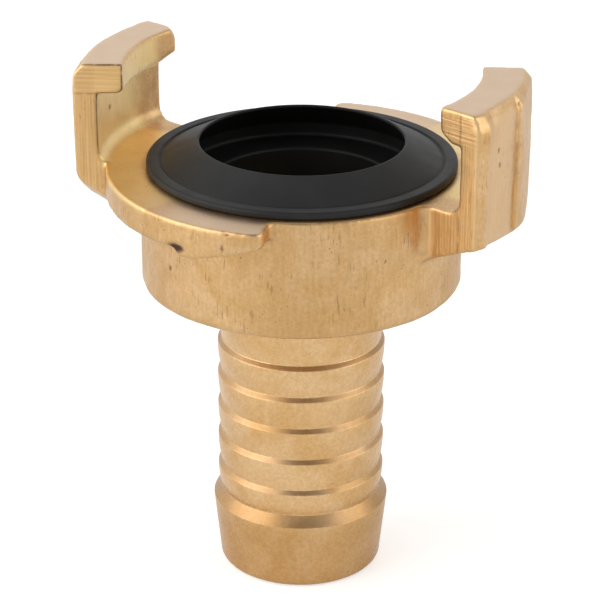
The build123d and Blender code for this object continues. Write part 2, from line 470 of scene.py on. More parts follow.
    # Roughness: blasted skin is duller than the cut and turned faces
    patches = grain(tree, place, 3.0, detail=3.0)
    limits = {"To Min": 0.34, "To Max": 0.50}
    rough = add_node(tree, "ShaderNodeMapRange", {"Value": patches, **limits}).outputs[0]
    smooth_share = math(tree, "MAXIMUM", product(tree, cut, 0.06), product(tree, turned, 0.15))
    rough = math(tree, "SUBTRACT", rough, smooth_share)
    rough = math(tree, "ADD", rough, product(tree, dark, 0.2))
    tree.links.new(rough, shader.inputs["Roughness"])

    # Bump: blasting grain, pores, brush lines on the cut ends and turning lines round the tail
    blast = grain(tree, place, 0.28, detail=3.0, roughness=0.7)
    skin = grain(tree, place, 1.1, detail=3.0)
    lathe_lines = grain(tree, place, 0.12, detail=2.0, stretch=(400.0, 400.0, 1.0))
    height = product(tree, blast, math(tree, "SUBTRACT", 0.5, product(tree, turned, 0.4)))
    for operation, part, share in (
        ("ADD", skin, 0.9),
        ("SUBTRACT", pores, 1.4),
        ("SUBTRACT", drags, 0.6),
        ("ADD", brush, product(tree, brushed, 2.5)),
        ("ADD", lathe_lines, product(tree, turned, 0.7)),
    ):
        height = math(tree, operation, height, product(tree, part, share))
    bump = add_node(tree, "ShaderNodeBump", {"Height": height, "Strength": 0.40, "Distance": 0.05 * MM})
    tree.links.new(bump.outputs[0], shader.inputs["Normal"])
    return material


def rubber_material():
    """Satin black moulded rubber, with a faint bloom, a trace of dust and painted shade inside the seal."""
    finish = bpy.context.scene.coupling_finish
    material, tree, shader = new_material("black_rubber")
    place = add_node(tree, "ShaderNodeTexCoord").outputs["Object"]
    base = tuple(finish.rubber)
    bloom = ramp(tree, grain(tree, place, 6.0, detail=4.0), 0.35, 0.75)
    colour = blend_colour(tree, bloom, base, scaled(base, 1.55, 1.55, 1.55))
    specks = ramp(tree, grain(tree, place, 0.5, detail=2.0), 0.76, 0.82)
    colour = blend_colour(tree, product(tree, specks, 0.35), colour, (0.12, 0.115, 0.11))
    # Painted shade: the inside of the seal is darkened and given less gloss
    inside = attribute(tree, "inside")
    colour = blend_colour(tree, product(tree, inside, 0.60), colour, (0.0030, 0.0030, 0.0024))
    gloss = math(tree, "SUBTRACT", 0.35, product(tree, inside, 0.15))
    tree.links.new(gloss, shader.inputs["Specular IOR Level"])
    tree.links.new(colour, shader.inputs["Base Color"])
    worn = grain(tree, place, 2.5, detail=3.0)
    limits = {"To Min": 0.44, "To Max": 0.60}
    rough = add_node(tree, "ShaderNodeMapRange", {"Value": worn, **limits}).outputs[0]
    tree.links.new(rough, shader.inputs["Roughness"])
    fine = grain(tree, place, 0.20, detail=3.0, roughness=0.6)
    slow = grain(tree, place, 3.0, detail=2.0)
    height = math(tree, "ADD", product(tree, fine, 0.4), slow)
    bump = add_node(tree, "ShaderNodeBump", {"Height": height, "Strength": 0.3, "Distance": 0.06 * MM})
    tree.links.new(bump.outputs[0], shader.inputs["Normal"])
    return material


# ---------------------------------------------------------------- mesh helpers


def mesh_object(name, mesh, material=None):
    """An object at the origin that shows the mesh."""
    obj = bpy.data.objects.new(name, mesh)
    bpy.context.scene.collection.objects.link(obj)
    if material is not None:
        mesh.materials.clear()
        mesh.materials.append(material)
    return obj


def evaluated_mesh(obj):
    """A plain mesh of the object with its modifiers applied."""
    depsgraph = bpy.context.evaluated_depsgraph_get()
    return bpy.data.meshes.new_from_object(obj.evaluated_get(depsgraph), depsgraph=depsgraph)


def smooth_shading(mesh):
    mesh.polygons.foreach_set("use_smooth", [True] * len(mesh.polygons))
    mesh.update()


def mesh_from(bm, name):
    """A mesh with what the bmesh holds, which is freed."""
    mesh = bpy.data.meshes.new(name)
    bm.to_mesh(mesh)
    bm.free()
    return mesh


def move_vertices(mesh, places):
    mesh.vertices.foreach_set("co", places.astype(np.float32).ravel())
    mesh.update()


def write_mask(mesh, name, values):
    """Gives the mesh an attribute with one value for each vertex."""
    layer = mesh.attributes.new(name, "FLOAT", "POINT")
    layer.data.foreach_set("value", values.astype(np.float32))


def radii(places):
    """Each place's distance from the axis."""
    return np.hypot(places[:, 0], places[:, 1])


def cut_below(bm, height):
    """Takes away all that lies below the height."""
    bmesh.ops.bisect_plane(
        bm,
        geom=bm.verts[:] + bm.edges[:] + bm.faces[:],
        plane_co=(0, 0, height),
        plane_no=(0, 0, 1),
        clear_inner=True,
    )


def lathe(bm, profile, segments):
    """Adds the surface that the profile, a list of (radius, height), sweeps round the Z axis."""
    turns = [2 * pi * k / segments for k in range(segments)]
    rings = [[bm.verts.new((r * cos(a), r * sin(a), z)) for a in turns] for r, z in profile]
    for upper, lower in zip(rings, rings[1:]):
        for k in range(segments):
            after = (k + 1) % segments
            bm.faces.new((upper[k], lower[k], lower[after], upper[after]))


def round_corners(points, rounds, count=7):
    """The polyline with the corners that rounds names by index turned into arcs of that radius."""
    result = []
    for index, point in enumerate(points):
        radius = rounds.get(index)
        if not radius:
            result.append(point)
            continue
        here = Vector(point)
        before = (Vector(points[index - 1]) - here).normalized()
        after = (Vector(points[(index + 1) % len(points)]) - here).normalized()
        half = before.angle(after) / 2
        run = radius / np.tan(half)
        middle = here + (before + after).normalized() * (radius / np.sin(half))
        first = here + before * run
        last = here + after * run
        for k in range(count):
            share = k / (count - 1)
            spoke = first.lerp(last, share) - middle
            spoke.normalize()
            result.append(tuple(middle + spoke * radius))
    return result


def edge_pairs(mesh):
    pairs = np.empty(len(mesh.edges) * 2, np.int64)
    mesh.edges.foreach_get("vertices", pairs)
    return pairs.reshape(-1, 2)


def vertex_array(mesh, what="co"):
    """Vertex places or normals as an array of rows."""
    flat = np.empty(len(mesh.vertices) * 3, np.float32)
    source = mesh.vertices if what == "co" else mesh.vertex_normals
    source.foreach_get("co" if what == "co" else "vector", flat)
    return flat.reshape(-1, 3).astype(float)


def neighbour_mean(values, pairs):
    """For each vertex, the mean of its neighbours' values."""
    shape = (len(values),) + (1,) * (values.ndim - 1)
    total = np.zeros_like(values)
    np.add.at(total, pairs[:, 0], values[pairs[:, 1]])
    np.add.at(total, pairs[:, 1], values[pairs[:, 0]])
    count = np.bincount(pairs.ravel(), minlength=len(values)).reshape(shape)
    return total / np.maximum(count, 1)


def smoothstep(values, low, high):
    share = np.clip((values - low) / (high - low), 0.0, 1.0)
    return share * share * (3.0 - 2.0 * share)


def waves(places, size, seed):
    """Signed noise at each place, with waves about size metres long."""
    shift = Vector((seed * 3.7, seed * 1.3, -seed * 2.1))
    return np.array([noise.noise(Vector(p) / size + shift) for p in places])


# ---------------------------------------------------------------- hose tail


def barb_tree():
    """Geometry nodes that stack barbs down from a lip: a swelling flank, then a sloping ledge."""
    tree = bpy.data.node_groups.new("Hose barbs", "GeometryNodeTree")
    face = tree.interface
    face.new_socket("Geometry", in_out="OUTPUT", socket_type="NodeSocketGeometry")
    for kind, names in (
        ("Int", ("Count", "Segments")),
        ("Float", ("Pitch", "First lip", "Lip radius", "Root radius", "Bulge", "Ledge height")),
        ("Material", ("Material",)),
    ):
        for name in names:
            face.new_socket(name, in_out="INPUT", socket_type="NodeSocket" + kind)
    sizes = tree.nodes.new("NodeGroupInput").outputs

    # A flat strip: x runs once round the tail, y runs 0 to 1 down the barb
    columns = math(tree, "ADD", sizes["Segments"], 1.0)
    strip = add_node(
        tree, "GeometryNodeMeshGrid", {"Size X": 1.0, "Size Y": 1.0, "Vertices X": columns, "Vertices Y": 13}
    )
    position = add_node(tree, "GeometryNodeInputPosition").outputs[0]
    across = add_node(tree, "ShaderNodeSeparateXYZ", {0: position}).outputs
    turn = product(tree, math(tree, "ADD", across[0], 0.5), 2 * pi)
    down = math(tree, "SUBTRACT", 0.5, across[1])

    # Upper half of the strip: flank from lip to root.  Lower half: the ledge, out to the next lip.
    flank = math(tree, "MINIMUM", product(tree, down, 2.0), 1.0)
    ledge = math(tree, "MAXIMUM", math(tree, "SUBTRACT", product(tree, down, 2.0), 1.0), 0.0)
    depth = math(tree, "SUBTRACT", sizes["Lip radius"], sizes["Root radius"])
    flank_left = opposite(tree, flank)
    taper = product(tree, depth, flank_left)
    swell = product(tree, flank, flank_left, 4.0, sizes["Bulge"])
    flare = product(tree, depth, ledge)
    radius = math(tree, "ADD", sizes["Root radius"], taper)
    radius = math(tree, "ADD", radius, math(tree, "ADD", swell, flare))
    flank_drop = product(tree, math(tree, "SUBTRACT", sizes["Pitch"], sizes["Ledge height"]), flank)
    ledge_drop = product(tree, sizes["Ledge height"], ledge)
    height = product(tree, math(tree, "ADD", flank_drop, ledge_drop), -1.0)
    place = add_node(
        tree,
        "ShaderNodeCombineXYZ",
        {
            0: product(tree, radius, math(tree, "COSINE", turn)),
            1: product(tree, radius, math(tree, "SINE", turn)),
            2: height,
        },
    ).outputs[0]
    barb = add_node(tree, "GeometryNodeSetPosition", {"Geometry": strip.outputs["Mesh"], "Position": place})

    # One barb at each pitch down the tail
    start = add_node(tree, "ShaderNodeCombineXYZ", {2: sizes["First lip"]}).outputs[0]
    step = add_node(tree, "ShaderNodeCombineXYZ", {2: product(tree, sizes["Pitch"], -1.0)}).outputs[0]
    stops = add_node(
        tree, "GeometryNodeMeshLine", {"Count": sizes["Count"], "Start Location": start, "Offset": step}
    )
    stack = add_node(
        tree,
        "GeometryNodeInstanceOnPoints",
        {"Points": stops.outputs["Mesh"], "Instance": barb.outputs["Geometry"]},
    )
    real = add_node(tree, "GeometryNodeRealizeInstances", {"Geometry": stack.outputs["Instances"]})
    welded = add_node(
        tree, "GeometryNodeMergeByDistance", {"Geometry": real.outputs["Geometry"], "Distance": 0.002 * MM}
    )
    finished = add_node(
        tree,
        "GeometryNodeSetMaterial",
        {"Geometry": welded.outputs["Geometry"], "Material": sizes["Material"]},
    )
    add_node(tree, "NodeGroupOutput", {"Geometry": finished.outputs["Geometry"]})
    return tree


def node_tree_mesh(name, tree, values):
    """Runs a geometry node tree on an empty mesh and gives the result as a plain mesh."""
    carrier = mesh_object(name, bpy.data.meshes.new(name))
    modifier = carrier.modifiers.new(name, "NODES")
    modifier.node_group = tree
    sockets = {item.name: item.identifier for item in tree.interface.items_tree if item.in_out == "INPUT"}
    for key, value in values.items():
        modifier[sockets[key]] = value
    mesh = evaluated_mesh(carrier)
    bpy.data.objects.remove(carrier)
    return mesh


def flank_radius(tail, share):
    """Radius of a swelling flank; share is 0 at its top and 1 at its root."""
    depth = tail.lip_radius - tail.root_radius
    return tail.root_radius + depth * (1 - share) + 4 * tail.bulge * share * (1 - share)


def neck_point(tail, height):
    """Radius of the long flank between the hub and the first barb, at a height."""
    length = HUB_BOTTOM - tail.first_lip - tail.ledge_height
    return flank_radius(tail, (HUB_BOTTOM - height) / length)


def ledge_profile(tail, root_height):
    """The sloping ledge from a root down to the lip below it."""
    depth = tail.lip_radius - tail.root_radius
    return [
        (tail.root_radius + depth * k / 6, root_height - tail.ledge_height * k / 6) for k in range(7)
    ]


def collar_profile(tail, last_lip):
    """From the last lip down over the collar, round the toe and up the bore."""
    collar_top = 10.1 * MM
    shoulder_top = 11.6 * MM
    flank_length = last_lip - shoulder_top
    shares = [k / 6 for k in range(7)]
    points = [(flank_radius(tail, share), last_lip - flank_length * share) for share in shares]
    corners = [
        points[-1],
        (tail.collar_radius, collar_top),
        (tail.toe_radius, 0.0),
        (tail.bore_radius, 0.0),
        (tail.bore_radius, 6 * MM),
    ]
    rounded = round_corners(corners, {1: 0.45 * MM, 2: 1.0 * MM, 3: 0.25 * MM})
    return points[:-1] + rounded


class COUPLING_OT_hose_tail(bpy.types.Operator):
    """Make the turned hose tail: neck, barbs, collar and waterway"""

    bl_idname = "coupling.hose_tail"
    bl_label = "Hose Tail"

    def execute(self, context):
        tail = context.scene.coupling_tail
        join = context.scene.coupling_head.join_height - 0.8 * MM
        bm = bmesh.new()
        first_root = tail.first_lip + tail.ledge_height
        steps = [join + (first_root - join) * k / 4 for k in range(5)]
        neck = [(neck_point(tail, z), z) for z in steps[:-1]] + ledge_profile(tail, first_root)
        lathe(bm, neck, TAIL_SEGMENTS)
        last_lip = tail.first_lip - (tail.barb_count - 1) * tail.barb_pitch
        lathe(bm, collar_profile(tail, last_lip), TAIL_SEGMENTS)
        bore = [(tail.bore_radius, 6 * MM + (join - 6 * MM) * k / 8) for k in range(9)]
        lathe(bm, bore, TAIL_SEGMENTS)
        barbs = node_tree_mesh(
            "hose_barbs",
            barb_tree(),
            {
                "Count": tail.barb_count - 1,
                "Segments": TAIL_SEGMENTS,
                "Pitch": tail.barb_pitch,
                "First lip": tail.first_lip,
                "Lip radius": tail.lip_radius,
                "Root radius": tail.root_radius,
                "Bulge": tail.bulge,
                "Ledge height": tail.ledge_height,
                "Material": bpy.data.materials["satin_brass"],
            },
        )
        bm.from_mesh(barbs)
        bpy.data.meshes.remove(barbs)
        bmesh.ops.remove_doubles(bm, verts=bm.verts, dist=0.01 * MM)
        bmesh.ops.recalc_face_normals(bm, faces=bm.faces)
        tail_object = mesh_object("hose_tail", mesh_from(bm, "hose_tail"))

        # The lips are cut, not knife-sharp
        bevel = tail_object.modifiers.new("Lips", "BEVEL")
        bevel.width = 0.07 * MM
        bevel.segments = 2
        bevel.limit_method = "ANGLE"
        bevel.angle_limit = radians(28)
        bevelled = evaluated_mesh(tail_object)
        tail_object.modifiers.clear()
        tail_object.data = bevelled
        return {"FINISHED"}


# ---------------------------------------------------------------- forged head


def remeshed_head(head):
    """The packed body above the join, as an even mesh with its corners kept."""
    bm = bmesh.new()
    bm.from_mesh(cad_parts["coupling_body"].data)
    bmesh.ops.remove_doubles(bm, verts=bm.verts, dist=0.0005 * MM)
    cut_below(bm, head.join_height - 1.5 * MM)
    rim = [edge for edge in bm.edges if edge.is_boundary]
    bmesh.ops.triangle_fill(bm, edges=rim, use_beauty=True)
    bmesh.ops.recalc_face_normals(bm, faces=bm.faces)
    rough = mesh_object("head", mesh_from(bm, "head"))
    modifier = rough.modifiers.new("Even mesh", "REMESH")
    modifier.mode = "SHARP"
    modifier.octree_depth = 8
    modifier.scale = head.grain
    modifier.sharpness = 1.0
    modifier.use_remove_disconnected = False
    even = evaluated_mesh(rough)
    bpy.data.objects.remove(rough)
    return even


def folded_azimuth(places):
    """Azimuth in degrees, folded so that both halves of the body read alike: 0 to 180."""
    return np.degrees(np.arctan2(places[:, 1], places[:, 0])) % 180.0


def claw_azimuth(places):
    """Azimuth in degrees from each half's wing root, folded: -60 to 120."""
    return (folded_azimuth(places) + 60.0) % 180.0 - 60.0


def soften(mesh, passes):
    """Rounds the edges by moving each vertex towards its neighbours' mean."""
    pairs = edge_pairs(mesh)
    places = vertex_array(mesh)
    for _ in range(passes):
        places += 0.5 * (neighbour_mean(places, pairs) - places)
    move_vertices(mesh, places)


def fill_hub_corner(mesh, corner_round):
    """Fills the hub's lower corner out from the model's round to a smaller one."""
    model_round = 2.8 * MM
    places = vertex_array(mesh)
    radius = radii(places)
    out = radius - (HUB_RADIUS - model_round)
    down = HUB_BOTTOM + model_round - places[:, 2]
    inside = (out > 0.0) & (down > 0.0) & (places[:, 2] > HUB_BOTTOM - 1 * MM)
    length = np.maximum(np.hypot(out, down), 1e-9)
    across = np.abs(out / length)
    fall = np.abs(down / length)
    reach = model_round / np.maximum(across, fall)
    middle = model_round - corner_round
    along = middle * (across + fall)
    bend = along**2 - 2 * middle**2 + corner_round**2
    on_round = reach * np.minimum(across, fall) > middle
    reach = np.where(on_round, along + np.sqrt(np.maximum(bend, 0.0)), reach)
    scale = np.where(inside, reach / model_round, 1.0)
    wanted = np.where(inside, HUB_RADIUS - model_round + out * scale, radius)
    places[:, :2] *= (wanted / np.maximum(radius, 1e-9))[:, None]
    places[:, 2] = np.where(inside, HUB_BOTTOM + model_round - down * scale, places[:, 2])
    move_vertices(mesh, places)


def head_place(half, azimuth, radius, drop):
    """A place on one half of the head: degrees from that half's wing root, and drop below the top."""
    turn = radians(azimuth + 180 * half)
    return np.array((radius * cos(turn), radius * sin(turn), BODY_HIGH.z - drop))


def shave(places, reach, corners, inside):
    """Moves the vertices in reach that lie beyond the plane through three corners back onto it."""
    first, second, third = corners
    normal = np.cross(second - first, third - first)
    normal /= np.linalg.norm(normal)
    if (inside - first) @ normal > 0:
        normal = -normal
    beyond = np.where(reach, np.maximum((places - first) @ normal, 0.0), 0.0)
    places -= beyond[:, None] * normal


def shave_claws(mesh):
    """The claws' trimmed shape: end land, nose underside, inner corner, face beside the wing."""
    places = vertex_array(mesh)
    outer = CLAW_RADIUS
    nose = NOSE_RADIUS
    span = -CLAW_SPAN
    for half in (0, 1):
        azimuth = (np.degrees(np.arctan2(places[:, 1], places[:, 0])) - 180 * half + 180) % 360 - 180
        radius = radii(places)
        claw = (azimuth > span - 3) & (azimuth < 4) & (radius > 24 * MM)
        middle = head_place(half, -20, 30 * MM, 8 * MM)

        # A raised land beside the free end, its crest a little way in from the corner
        skin = smoothstep(radius, 29.9 * MM, 31.0 * MM) * claw
        stops = (span - 1, span, span + 3.8, span + 6.6)
        land = np.interp(azimuth, stops, (0.30, 0.35, 0.75, 0.0)) * MM
        places[:, :2] *= (1 + skin * land / np.maximum(radius, 1e-9))[:, None]
        facets = (
            # Nose underside, deepest at the free end and running out at the wing
            (
                (radius < 28.2 * MM) & (places[:, 2] > BODY_HIGH.z - 5.4 * MM),
                head_place(half, span, nose, 3.3 * MM),
                head_place(half, span, nose + 2.2 * MM, 4.85 * MM),
                head_place(half, -6, nose, 4.3 * MM),
            ),
            # Outer face between the ridge and the wing
            (
                radius > 29 * MM,
                head_place(half, -22, outer, 2.1 * MM),
                head_place(half, -2, outer - 0.1 * MM, 6.5 * MM),
                head_place(half, -2, outer - 0.35 * MM, 0.0),
            ),
            # Inner corner of the free end, below the top: knocked further on one claw
            (
                places[:, 2] > BODY_HIGH.z - 3 * MM,
                head_place(half, span, nose + (0.9 + half) * MM, 0.0),
                head_place(half, span + 1.2 * (1 + half), nose, 0.0),
                head_place(half, span, nose, (0.7 + 0.8 * half) * MM),
            ),
        )
        for limit, first, second, third in facets:
            shave(places, claw & limit, (first, second, third), middle)
    move_vertices(mesh, places)


def cut_faces(places, normals):
    """1 on the faces that are cut after forging: claw tops and wing tops."""
    z = places[:, 2]
    radius = radii(places)
    top = (normals[:, 2] > 0.9) & (z > BODY_HIGH.z - 0.3 * MM)
    wing = (normals[:, 2] > 0.6) & (radius > 21.8 * MM) & (radius < 27.2 * MM)
    wing &= (z > 60.5 * MM) & (z < 67 * MM) & (folded_azimuth(places) < 78)
    along = smoothstep(folded_azimuth(places), 22.0, 55.0)
    return np.where(top, 1.0, np.where(wing, along, 0.0))


def claw_insides(places):
    """1 on the flange floor and the walls inside the claws, which are painted with bounce light."""
    radius = radii(places)
    azimuth = claw_azimuth(places)
    inside = (azimuth > -43.5) & (azimuth < 40.0) & (radius > 22.3 * MM) & (radius < 28.7 * MM)
    inside &= (places[:, 2] > 60.3 * MM) & (places[:, 2] < BODY_HIGH.z - 0.3 * MM)
    return inside * smoothstep(azimuth, -36.0, -30.0)


def relief_faces(places):
    """1 on the paler outer face of each claw, between its end land and its ridge."""
    radius = radii(places)
    azimuth = claw_azimuth(places)
    past_land = smoothstep(azimuth, -40.0, -38.5)
    before_ridge = 1.0 - smoothstep(azimuth, -25.0, -23.5)
    return (radius > 30.6 * MM) * past_land * before_ridge


MARKS = (
    # Azimuth, radius and height of a casting mark; half its length and height; its depth
    (232.3, 27.30, 57.1, 1.60, 0.75, 0.30),
    (249.0, 27.1, 60.5, 0.45, 0.25, 0.10),
    (217.4, 22.60, 50.9, 0.40, 0.50, 0.10),
    (247.6, 27.40, 58.5, 0.35, 0.50, 0.08),
    (326.9, 31.15, 69.4, 0.38, 0.42, 0.06),
    (327.6, 31.15, 67.2, 0.38, 0.36, 0.06),
    (163.6, 28.40, 66.5, 0.42, 0.45, 0.08),
    (226.3, 12.05, 3.95, 0.40, 0.80, 0.03),
)


def mark_masks(places):
    """For each vertex, how dark the casting marks are there, and how deep."""
    dark = np.zeros(len(places))
    deep = np.zeros(len(places))
    for azimuth, radius, height, half_length, half_height, depth in MARKS:
        turn = radians(azimuth)
        centre = np.array((radius * cos(turn), radius * sin(turn), height)) * MM
        offset = places - centre
        along = offset @ np.array((-sin(turn), cos(turn), 0.0)) / (half_length * MM)
        across = offset @ np.array((cos(turn), sin(turn), 0.0)) / (1.0 * MM)
        up = offset[:, 2] / (half_height * MM)
        share = 1.0 - smoothstep(np.sqrt(along**2 + across**2 + up**2), 0.45, 1.15)
        dark = np.maximum(dark, share * min(1.0, 0.55 + 1.5 * depth))
        deep = np.maximum(deep, share * depth * MM)
    return dark, deep


def brushed_faces(places, normals):
    """1 on the claws' end faces, which were cut with a fine brush finish."""
    radius = radii(places)
    round_way = np.abs(normals[:, 0] * -places[:, 1] + normals[:, 1] * places[:, 0])
    round_way /= np.maximum(radius, 1e-6)
    return np.where((round_way > 0.8) & (radius > 22.0 * MM), 1.0, 0.0)


def forge(mesh, height):
    """Moves the skin in and out by slow waves, except on cut faces and near the join and seal."""
    places = vertex_array(mesh)
    normals = vertex_array(mesh, "normal")
    radius = radii(places)
    free = 1.0 - cut_faces(places, normals)
    free *= smoothstep(places[:, 2], 43 * MM, 45 * MM)
    free *= smoothstep(radius, 21.9 * MM, 22.3 * MM) + (places[:, 2] < 60 * MM) * (radius > 15 * MM)
    free = np.clip(free, 0.0, 1.0)
    for _ in range(3):
        free = 0.5 * free + 0.5 * neighbour_mean(free, edge_pairs(mesh))
    swell = waves(places, 5.5 * MM, 1)
    swell += 0.45 * waves(places, 2.3 * MM, 2)
    swell += 0.2 * waves(places, 1.0 * MM, 3)
    places += normals * (height * swell * free - mark_masks(places)[1])[:, None]
    places[:, 2] = np.minimum(places[:, 2], BODY_HIGH.z)
    move_vertices(mesh, places)


def write_masks(mesh):
    """Gives the brass mesh the masks that its material reads."""
    places = vertex_array(mesh)
    normals = vertex_array(mesh, "normal")
    pairs = edge_pairs(mesh)
    z = places[:, 2]

    # Bend of the surface: how far a vertex stands above (+) or below (-) its neighbours
    rise = ((places - neighbour_mean(places, pairs)) * normals).sum(1)
    for _ in range(2):
        rise = 0.5 * rise + 0.5 * neighbour_mean(rise, pairs)
    head_part = smoothstep(z, 42 * MM, 45 * MM)
    on_claws = smoothstep(radii(places), 27.6 * MM, 28.6 * MM)
    ridge = smoothstep(rise, 0.006 * MM, 0.03 * MM) * head_part * (0.15 + 0.85 * on_claws)
    hollow = smoothstep(-rise, 0.006 * MM, 0.03 * MM) * head_part
    masks = {
        "cut": cut_faces(places, normals),
        "brushed": brushed_faces(places, normals) * head_part,
        "turned": 1.0 - smoothstep(z, 42.0 * MM, 44.0 * MM),
        "ridge": ridge,
        "hollow": hollow,
        "stain": mark_masks(places)[0],
        "inner": claw_insides(places) * (1.0 - cut_faces(places, normals)),
        "relief": relief_faces(places) * (z < BODY_HIGH.z - 1.2 * MM),
        # ledge: the barbs' upward faces, which carry painted shade
        "ledge": np.where((z < 36 * MM) & (z > 6 * MM), smoothstep(normals[:, 2], 0.25, 0.45), 0.0),
    }
    for name, passes in (("cut", 1), ("brushed", 1), ("inner", 2), ("relief", 1)):
        for _ in range(passes):
            masks[name] = 0.5 * masks[name] + 0.5 * neighbour_mean(masks[name], pairs)
    for name, values in masks.items():
        write_mask(mesh, name, values)


def join_tail(head_mesh, tail_mesh, join_height):
    """Opens the head at the join and runs its two rims into the tail's."""
    bm = bmesh.new()
    bm.from_mesh(head_mesh)
    cut_below(bm, join_height)
    bm.from_mesh(tail_mesh)
    rims = [edge for edge in bm.edges if edge.is_boundary]
    mid_wall = 10.7 * MM
    for outside in (True, False):
        loops = [edge for edge in rims if (edge.verts[0].co.xy.length > mid_wall) == outside]
        bmesh.ops.bridge_loops(bm, edges=loops)
    bmesh.ops.recalc_face_normals(bm, faces=bm.faces)
    return mesh_from(bm, "coupling_body_brass")


class COUPLING_OT_brass_body(bpy.types.Operator):
    """Make the brass body: the forged head, run into the turned tail"""

    bl_idname = "coupling.brass_body"
    bl_label = "Brass Body"

    def execute(self, context):
        head = context.scene.coupling_head
        even = remeshed_head(head)
        shave_claws(even)
        soften(even, head.softness)
        fill_hub_corner(even, head.hub_corner)
        forge(even, head.unevenness)
        tail_object = bpy.data.objects["hose_tail"]
        mesh = join_tail(even, tail_object.data, head.join_height)
        bpy.data.objects.remove(tail_object)
        smooth_shading(mesh)
        write_masks(mesh)
        open_edges = len(mesh.edges) * 2 - sum(len(p.vertices) for p in mesh.polygons)
        if open_edges:
            raise RuntimeError(f"the brass body isn't closed: {open_edges}")
        body = mesh_object("coupling_body_brass", mesh, bpy.data.materials["satin_brass"])
        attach(body, "root")
        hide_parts("coupling_body")
        return {"FINISHED"}


# ---------------------------------------------------------------- seal


class COUPLING_OT_seal(bpy.types.Operator):
    """Make the moulded rubber seal: foot, rim, groove, cone and lip"""

    bl_idname = "coupling.seal"
    bl_label = "Rubber Seal"

    def execute(self, context):
        seal = context.scene.coupling_seal
        foot_z = SEAL_LOW.z
        floor_z = FLANGE_Z - 2.1 * MM
        rim_z = FLANGE_Z + seal.rim_thickness
        foot_radius = 19.5 * MM
        cavity_radius = 17.5 * MM
        bore_radius = 12.3 * MM
        cone_foot = seal.rim_radius - 1.7 * MM
        # Radius, height and round of each corner, up the outside and down the inside
        corners = (
            (foot_radius, foot_z, 0.3),
            (foot_radius, FLANGE_Z, 0.0),
            (seal.rim_radius, FLANGE_Z, 0.45),
            (seal.rim_radius, rim_z, 0.45),
            (cone_foot, rim_z, 0.15),
            (cone_foot - 0.3 * MM, rim_z - 0.22 * MM, 0.12),
            (cone_foot - 0.6 * MM, rim_z, 0.15),
            (seal.lip_radius, seal.lip_height, 0.22),
            (seal.lip_radius, seal.lip_height - 0.5 * MM, 0.12),
            (cavity_radius, FLANGE_Z, 0.6),
            (cavity_radius, floor_z, 0.6),
            (bore_radius, floor_z, 0.4),
            (bore_radius, foot_z, 0.3),
        )
        rounds = {index: corner[2] * MM for index, corner in enumerate(corners)}
        section = round_corners([corner[:2] for corner in corners], rounds)
        bm = bmesh.new()
        lathe(bm, section + section[:1], SEAL_SEGMENTS)
        bmesh.ops.remove_doubles(bm, verts=bm.verts, dist=0.002 * MM)
        bmesh.ops.recalc_face_normals(bm, faces=bm.faces)
        mesh = mesh_from(bm, "seal_rubber")
        smooth_shading(mesh)
        places = vertex_array(mesh)
        normals = vertex_array(mesh, "normal")
        radius = radii(places)
        # Mask of the painted shade inside the seal
        inwards = (normals[:, :2] * places[:, :2]).sum(1) < -0.2 * radius
        pocket = (radius < cavity_radius + 0.2 * MM) & (places[:, 2] < FLANGE_Z + 0.2 * MM)
        write_mask(mesh, "inside", np.where(inwards | pocket, 1.0, 0.0))
        piece = mesh_object("seal_rubber", mesh, bpy.data.materials["black_rubber"])
        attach(piece, "root")
        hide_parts("seal_ring")
        return {"FINISHED"}


# ---------------------------------------------------------------- finishes and stage


class COUPLING_OT_finishes(bpy.types.Operator):
    """Make the brass and rubber materials"""

    bl_idname = "coupling.finishes"
    bl_label = "Finishes"

    def execute(self, context):
        brass_material()
        rubber_material()
        return {"FINISHED"}


def shown_white(tree, shade, background):
    """Shows the white background to the camera and through glass, the shade to everything else."""
    path = add_node(tree, "ShaderNodeLightPath").outputs
    seen = math(tree, "MAXIMUM", path["Is Camera Ray"], path["Is Transmission Ray"])
    mix = tree.nodes.new("ShaderNodeMixShader")
    tree.links.new(seen, mix.inputs[0])
    tree.links.new(shade, mix.inputs[1])
    tree.links.new(background, mix.inputs[2])
    return mix.outputs[0]


def studio_world():
    """White to the camera; to the object a pale room, brighter to the left and dimmer overhead."""
    world = bpy.data.worlds.new("studio")
    world.use_nodes = True
    tree = world.node_tree
    tree.nodes.clear()
    direction = add_node(tree, "ShaderNodeTexCoord").outputs["Generated"]
    axes = add_node(tree, "ShaderNodeSeparateXYZ", {0: direction}).outputs
    # Generated is the direction looked in: -1 to 1 on each axis
    left = product(tree, axes[0], -0.21)
    back = product(tree, axes[1], 0.10)
    overhead = product(tree, ramp(tree, axes[2], 0.30, 0.95), -0.30)
    level = math(tree, "ADD", math(tree, "ADD", left, back), math(tree, "ADD", overhead, 0.88))
    # An unlit gap between the lamps, above the front
    high = ramp(tree, axes[2], 0.60, 0.74)
    narrow = opposite(tree, ramp(tree, math(tree, "ABSOLUTE", axes[0]), 0.16, 0.40))
    front = opposite(tree, ramp(tree, axes[1], -0.05, 0.25))
    gap = product(tree, high, narrow, front, 0.96)
    level = product(tree, level, opposite(tree, gap))
    room = add_node(tree, "ShaderNodeBackground", {"Color": (1, 1, 1, 1), "Strength": level})
    white = add_node(tree, "ShaderNodeBackground", {"Color": (1, 1, 1, 1), "Strength": 1.0})
    out = tree.nodes.new("ShaderNodeOutputWorld")
    tree.links.new(shown_white(tree, room.outputs[0], white.outputs[0]), out.inputs["Surface"])
    bpy.context.scene.world = world


